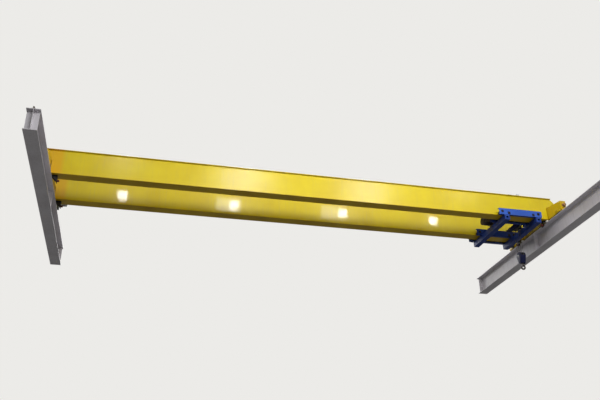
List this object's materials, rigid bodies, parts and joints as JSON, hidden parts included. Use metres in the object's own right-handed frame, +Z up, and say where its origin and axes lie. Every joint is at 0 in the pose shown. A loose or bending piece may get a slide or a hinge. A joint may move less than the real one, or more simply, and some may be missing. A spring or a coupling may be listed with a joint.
{
  "type": "overhead bridge crane",
  "caption": "Double-girder bridge crane on two runway beams, with an underslung trolley whose hoist lowers a hook block on wire rope.",
  "frame": {"origin": "underside of the left runway beam at its middle support, under the rail", "axes": "+X along the bridge from the left rail to the right one, +Y along the runway, +Z up"},
  "size_m": [26.85, 14, 3.7],
  "materials": {
    "runway_paint": "satin light grey paint",
    "rail_steel": "rolled steel, worn bright on top",
    "girder_yellow": "gloss safety yellow paint",
    "buffer_rubber": "matt tan rubber",
    "stop_paint": "satin black paint",
    "stop_rubber": "matt red-brown rubber",
    "gearbox_paint": "dark grey painted casting",
    "motor_paint": "grey painted aluminium casting",
    "wheel_steel": "turned steel, greased",
    "trolley_blue": "satin blue paint",
    "hoist_brown": "dark grey-brown machine paint",
    "rope_steel": "greased wire rope",
    "block_blue": "satin dark blue paint",
    "hook_steel": "forged steel",
    "latch_steel": "zinc plated steel"
  },
  "bodies": {
    "runway": {"left_runway_beam": "runway_paint", "right_runway_beam": "runway_paint", "left_rail": "rail_steel", "right_rail": "rail_steel"},
    "bridge": {"near_girder_webs": "girder_yellow", "far_girder_webs": "girder_yellow", "near_top_flange": "girder_yellow", "far_top_flange": "girder_yellow", "near_bottom_flange": "girder_yellow", "far_bottom_flange": "girder_yellow", "left_end_truck": "girder_yellow", "right_end_truck": "girder_yellow", "left_truck_buffers": "buffer_rubber", "right_truck_buffers": "buffer_rubber", "left_trolley_stops": "stop_paint", "right_trolley_stops": "stop_paint", "trolley_stop_buffers": "stop_rubber", "bridge_gearboxes": "gearbox_paint", "bridge_motors": "motor_paint"},
    "front_wheels": {"left_front_wheel": "wheel_steel", "right_front_wheel": "wheel_steel"},
    "back_wheels": {"left_back_wheel": "wheel_steel", "right_back_wheel": "wheel_steel"},
    "trolley": {"near_outer_side_beam": "trolley_blue", "near_inner_side_beam": "trolley_blue", "far_inner_side_beam": "trolley_blue", "far_outer_side_beam": "trolley_blue", "left_cross_beam": "trolley_blue", "right_cross_beam": "trolley_blue", "trolley_gearboxes": "gearbox_paint", "trolley_motors": "motor_paint", "hoist_gearbox": "hoist_brown", "hoist_motor": "hoist_brown", "hoist_stand": "trolley_blue", "return_sheave": "wheel_steel", "sheave_pin": "wheel_steel", "rope_anchor": "trolley_blue", "lead_rope": "rope_steel", "hoist_ropes": "rope_steel"},
    "trolley_left_wheels": {"near_left_trolley_wheels": "wheel_steel", "far_left_trolley_wheels": "wheel_steel"},
    "trolley_right_wheels": {"near_right_trolley_wheels": "wheel_steel", "far_right_trolley_wheels": "wheel_steel"},
    "drum": {"hoist_drum": "hoist_brown", "drum_rope": "rope_steel"},
    "hook_block": {"block_housing": "block_blue", "block_sheaves": "wheel_steel", "block_crosshead": "wheel_steel"},
    "hook": {"hook": "hook_steel", "hook_latch": "latch_steel"}
  },
  "joints": [
    {"name": "bridge_travel", "type": "slide", "parent": "runway", "child": "bridge", "axis": [0, 1, 0], "range_m": [-3.7, 3.7]},
    {"name": "trolley_travel", "type": "slide", "parent": "bridge", "child": "trolley", "axis": [1, 0, 0], "range_m": [-22.4, 0.25]},
    {"name": "hoist_lift", "type": "slide", "parent": "trolley", "child": "hook_block", "axis": [0, 0, 1], "range_m": [-14.8, 0.78], "deforming": ["hoist_ropes"]},
    {"name": "hook_swivel", "type": "hinge", "parent": "hook_block", "child": "hook", "pos_m": [24.75, -0.1, -1.11], "axis": [0, 0, 1], "continuous": true},
    {"name": "drum_turn", "type": "hinge", "parent": "trolley", "child": "drum", "pos_m": [24.2, -0.15, 1.75], "axis": [1, 0, 0], "continuous": true},
    {"name": "front_wheels_turn", "type": "hinge", "parent": "bridge", "child": "front_wheels", "pos_m": [0, -2.35, 1.3003], "axis": [1, 0, 0], "continuous": true},
    {"name": "back_wheels_turn", "type": "hinge", "parent": "bridge", "child": "back_wheels", "pos_m": [0, 2.35, 1.3003], "axis": [1, 0, 0], "continuous": true},
    {"name": "trolley_left_wheels_turn", "type": "hinge", "parent": "trolley", "child": "trolley_left_wheels", "pos_m": [23.01, 0, 1.2503], "axis": [0, 1, 0], "continuous": true},
    {"name": "trolley_right_wheels_turn", "type": "hinge", "parent": "trolley", "child": "trolley_right_wheels", "pos_m": [25.11, 0, 1.2503], "axis": [0, 1, 0], "continuous": true}
  ],
  "couplings": [
    {"joint": "front_wheels_turn", "follows": "bridge_travel", "rad_per_m": -5},
    {"joint": "back_wheels_turn", "follows": "bridge_travel", "rad_per_m": -5},
    {"joint": "trolley_left_wheels_turn", "follows": "trolley_travel", "rad_per_m": 10},
    {"joint": "trolley_right_wheels_turn", "follows": "trolley_travel", "rad_per_m": 10},
    {"joint": "drum_turn", "follows": "hoist_lift", "rad_per_m": 16.667}
  ]
}
